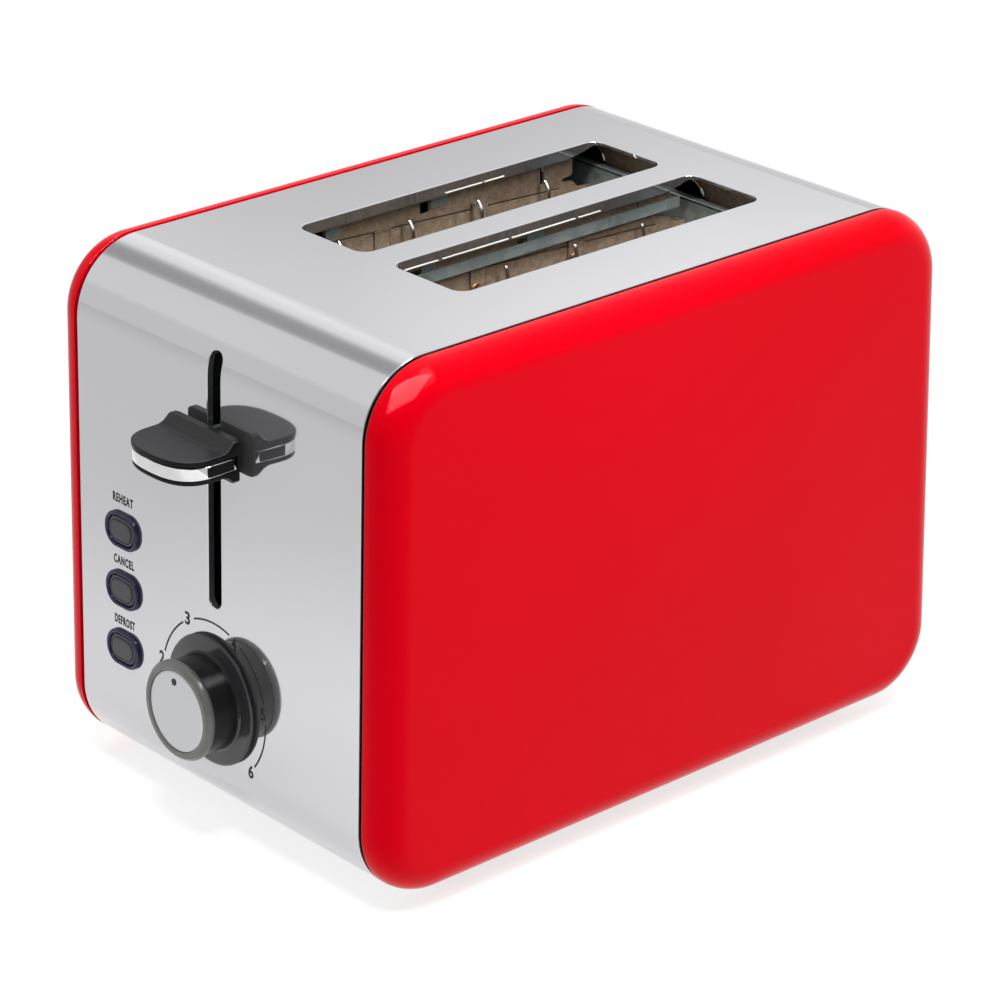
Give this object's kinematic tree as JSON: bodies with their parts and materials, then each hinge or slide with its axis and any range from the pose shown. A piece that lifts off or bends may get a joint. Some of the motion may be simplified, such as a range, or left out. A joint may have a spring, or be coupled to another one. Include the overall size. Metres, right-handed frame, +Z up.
{
  "type": "pop up toaster",
  "caption": "Pop-up toaster with a wrap-round steel body, domed red side panels, long bread slots, a lever, push buttons and a browning knob.",
  "frame": {"origin": "centre of the bounding box in X and Y, on the table under the feet in Z", "axes": "+Z up, the control face looks towards -Y, bread slots run along Y, red side panels at +X and -X"},
  "size_m": [0.1758, 0.2852, 0.191],
  "materials": {
    "steel": "satin, nearly mirror",
    "red_enamel": "gloss",
    "black_plastic": "semi-gloss",
    "galvanised": "dull zinc",
    "rubber": "matt",
    "mica": "mottled mica board",
    "nichrome": "oxidised ribbon",
    "bright_wire": "bright",
    "dark_plastic": "fine matt",
    "chrome_trim": "polished",
    "brushed_disc": "fine brushed",
    "navy_bezel": "semi-gloss",
    "circuit_board": "board",
    "copper_coil": "enamelled wire"
  },
  "bodies": {
    "housing": {"outer_wrap": "steel", "side_panel_right": "red_enamel", "side_panel_left": "red_enamel", "seam_trim_right": "black_plastic", "seam_trim_left": "black_plastic", "chassis_side_right": "galvanised", "chassis_side_left": "galvanised", "base_plate": "black_plastic", "foot_front_left": "rubber", "foot_front_right": "rubber", "foot_rear_left": "rubber", "foot_rear_right": "rubber", "cord_inlet": "black_plastic", "front_bulkhead": "galvanised", "rear_bulkhead": "galvanised", "chamber_rail_left": "galvanised", "chamber_rail_right": "galvanised", "rear_card": "mica", "mica_card_left_outer": "mica", "heating_element_left_outer": "nichrome", "mica_card_left_inner": "mica", "heating_element_left_inner": "nichrome", "mica_card_right_inner": "mica", "heating_element_right_inner": "nichrome", "mica_card_right_outer": "mica", "heating_element_right_outer": "nichrome", "guide_rod": "bright_wire", "return_spring": "bright_wire", "button_bezel_reheat": "navy_bezel", "switch_reheat": "black_plastic", "button_bezel_cancel": "navy_bezel", "switch_cancel": "black_plastic", "button_bezel_defrost": "navy_bezel", "switch_defrost": "black_plastic", "control_board": "circuit_board", "potentiometer": "dark_plastic", "electromagnet": "copper_coil", "relay": "black_plastic", "terminal_block": "dark_plastic"},
    "carriage": {"lever_upper": "dark_plastic", "lever_lower": "dark_plastic", "lever_trim": "chrome_trim", "lever_stem": "galvanised", "carriage_bracket": "galvanised", "armature": "galvanised", "bread_rack_left": "galvanised", "bread_rack_right": "galvanised"},
    "knob": {"knob_body": "black_plastic", "knob_bezel": "dark_plastic", "knob_disc": "brushed_disc", "knob_pointer": "dark_plastic"},
    "reheat_button": {"button_reheat": "dark_plastic"},
    "cancel_button": {"button_cancel": "dark_plastic"},
    "defrost_button": {"button_defrost": "dark_plastic"},
    "crumb_tray_body": {"crumb_tray": "galvanised", "crumb_tray_grip": "black_plastic"},
    "guide_left_outer": {"bread_guide_left_outer": "bright_wire"},
    "guide_left_inner": {"bread_guide_left_inner": "bright_wire"},
    "guide_right_inner": {"bread_guide_right_inner": "bright_wire"},
    "guide_right_outer": {"bread_guide_right_outer": "bright_wire"}
  },
  "joints": [
    {"name": "lever_slide", "type": "slide", "parent": "housing", "child": "carriage", "axis": [0, 0, 1], "range_m": [-0.052, 0.02], "stiffness_N_per_m": 130, "springref_m": 0.0082, "deforming": ["return_spring"]},
    {"name": "browning_knob", "type": "hinge", "parent": "housing", "child": "knob", "pos_m": [-0.001, -0.11847, 0.0527], "axis": [0, 0.9997, -0.026], "range_deg": [-127, 141]},
    {"name": "reheat_press", "type": "slide", "parent": "housing", "child": "reheat_button", "axis": [0, 0.9997, -0.026], "range_m": [0, 0.0015], "stiffness_N_per_m": 400},
    {"name": "cancel_press", "type": "slide", "parent": "housing", "child": "cancel_button", "axis": [0, 0.9997, -0.026], "range_m": [0, 0.0015], "stiffness_N_per_m": 400},
    {"name": "defrost_press", "type": "slide", "parent": "housing", "child": "defrost_button", "axis": [0, 0.9997, -0.026], "range_m": [0, 0.0015], "stiffness_N_per_m": 400},
    {"name": "crumb_tray_slide", "type": "slide", "parent": "housing", "child": "crumb_tray_body", "axis": [0, 1, 0], "range_m": [0, 0.165]},
    {"name": "guide_left_outer_close", "type": "slide", "parent": "housing", "child": "guide_left_outer", "axis": [1, 0, 0], "range_m": [-0.002, 0.005]},
    {"name": "guide_left_inner_close", "type": "slide", "parent": "housing", "child": "guide_left_inner", "axis": [-1, 0, 0], "range_m": [-0.002, 0.005]},
    {"name": "guide_right_inner_close", "type": "slide", "parent": "housing", "child": "guide_right_inner", "axis": [1, 0, 0], "range_m": [-0.002, 0.005]},
    {"name": "guide_right_outer_close", "type": "slide", "parent": "housing", "child": "guide_right_outer", "axis": [-1, 0, 0], "range_m": [-0.002, 0.005]}
  ],
  "couplings": [
    {"joint": "guide_left_outer_close", "follows": "lever_slide", "ratio": -0.096},
    {"joint": "guide_left_inner_close", "follows": "lever_slide", "ratio": -0.096},
    {"joint": "guide_right_inner_close", "follows": "lever_slide", "ratio": -0.096},
    {"joint": "guide_right_outer_close", "follows": "lever_slide", "ratio": -0.096}
  ]
}
